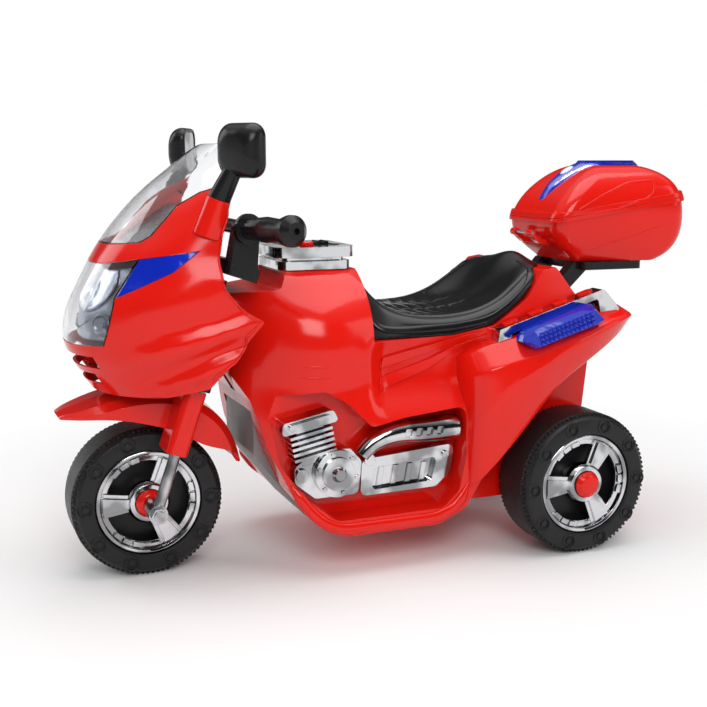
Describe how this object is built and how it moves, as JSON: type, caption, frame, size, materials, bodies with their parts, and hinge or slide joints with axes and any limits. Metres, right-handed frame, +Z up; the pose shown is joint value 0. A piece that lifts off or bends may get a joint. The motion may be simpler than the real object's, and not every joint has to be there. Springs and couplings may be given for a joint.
{
  "type": "kids electric motorbike",
  "caption": "Red battery ride-on motorbike for small children with a steerable fairing front, clear windshield, saddle seat, chrome trim and a hinged rear top case.",
  "frame": {"origin": "on the ground under the middle of the overall length and width", "axes": "+X forward, +Y to the rider's left, +Z up"},
  "size_m": [0.7763, 0.385, 0.4996],
  "materials": {
    "red_shell": "gloss",
    "black_gloss": "gloss",
    "black_plastic": "satin",
    "grey_plastic": "satin",
    "chrome_trim": "polished",
    "tyre_black": "satin",
    "steel": "brushed",
    "clear": "clear",
    "blue_lens": "gloss",
    "red_accent": "gloss",
    "mirror_face": "polished"
  },
  "bodies": {
    "main_body": {"body_left": "red_shell", "body_right": "red_shell", "front_keel": "grey_plastic", "head_tube": "black_plastic", "steering_bushes": "grey_plastic", "seat": "black_gloss", "console": "chrome_trim", "console_panel": "black_plastic", "engine_covers": "chrome_trim", "exhausts": "chrome_trim", "side_frames": "chrome_trim", "side_rails": "chrome_trim", "rail_reflectors": "red_accent", "light_bars": "blue_lens", "case_rack": "black_plastic", "case_base": "red_shell", "hinge_pins": "steel", "rear_axle": "steel", "rear_axle_hardware": "steel", "gearbox": "grey_plastic", "drive_motor": "steel", "battery_tray": "black_plastic", "battery": "grey_plastic", "control_board": "black_plastic", "charging_socket": "black_plastic", "pedal_bracket": "black_plastic"},
    "steering_assembly": {"fork_legs": "steel", "fork_crown": "black_plastic", "steering_stem": "steel", "front_axle": "steel", "front_axle_hardware": "steel", "front_fender": "red_shell", "front_fairing": "red_shell", "headlamp_lens": "clear", "headlamp_reflector": "chrome_trim", "marker_lenses": "blue_lens", "windshield": "clear", "inner_dash": "black_plastic", "fairing_floor": "black_plastic", "mirror_housings": "black_plastic", "mirror_glasses": "mirror_face", "handlebar": "black_plastic", "grips": "black_plastic"},
    "front_wheel": {"front_tyre": "tyre_black", "front_rims": "chrome_trim", "front_hub_caps": "red_shell"},
    "rear_wheel_left": {"rear_tyre_left": "tyre_black", "rear_rim_left": "chrome_trim", "rear_hub_cap_left": "red_shell"},
    "rear_wheel_right": {"rear_tyre_right": "tyre_black", "rear_rim_right": "chrome_trim", "rear_hub_cap_right": "red_shell", "drive_hub": "grey_plastic"},
    "top_case_lid": {"case_lid": "red_shell", "beacon_lens": "blue_lens"},
    "music_push_button": {"music_button": "red_accent"},
    "horn_push_button": {"horn_button": "red_accent"},
    "direction_switch": {"direction_rocker": "black_plastic"},
    "drive_pedal": {"foot_pedal": "black_plastic"}
  },
  "joints": [
    {"name": "steering", "type": "hinge", "parent": "main_body", "child": "steering_assembly", "pos_m": [0.293, 0, 0.085], "axis": [-0.3256, 0, 0.9455], "range_deg": [-20, 20]},
    {"name": "front_wheel_spin", "type": "hinge", "parent": "steering_assembly", "child": "front_wheel", "pos_m": [0.293, 0, 0.085], "axis": [0, 1, 0], "continuous": true},
    {"name": "rear_left_spin", "type": "hinge", "parent": "main_body", "child": "rear_wheel_left", "pos_m": [-0.199, 0.126, 0.085], "axis": [0, 1, 0], "continuous": true},
    {"name": "rear_right_spin", "type": "hinge", "parent": "main_body", "child": "rear_wheel_right", "pos_m": [-0.199, -0.126, 0.085], "axis": [0, 1, 0], "continuous": true},
    {"name": "case_lid_hinge", "type": "hinge", "parent": "main_body", "child": "top_case_lid", "pos_m": [-0.198, 0, 0.372], "axis": [0, 1, 0], "range_deg": [0, 80]},
    {"name": "music_press", "type": "slide", "parent": "main_body", "child": "music_push_button", "axis": [0, 0, -1], "range_m": [0, 0.0025], "stiffness_N_per_m": 400},
    {"name": "horn_press", "type": "slide", "parent": "main_body", "child": "horn_push_button", "axis": [0, 0, -1], "range_m": [0, 0.0025], "stiffness_N_per_m": 400},
    {"name": "direction_tilt", "type": "hinge", "parent": "main_body", "child": "direction_switch", "pos_m": [0.076, 0, 0.3595], "axis": [0, 1, 0], "range_deg": [-8, 8]},
    {"name": "pedal_press", "type": "hinge", "parent": "main_body", "child": "drive_pedal", "pos_m": [0.088, -0.101, 0.077], "axis": [0, -1, 0], "range_deg": [0, 7], "stiffness_Nm_per_rad": 0.6}
  ]
}
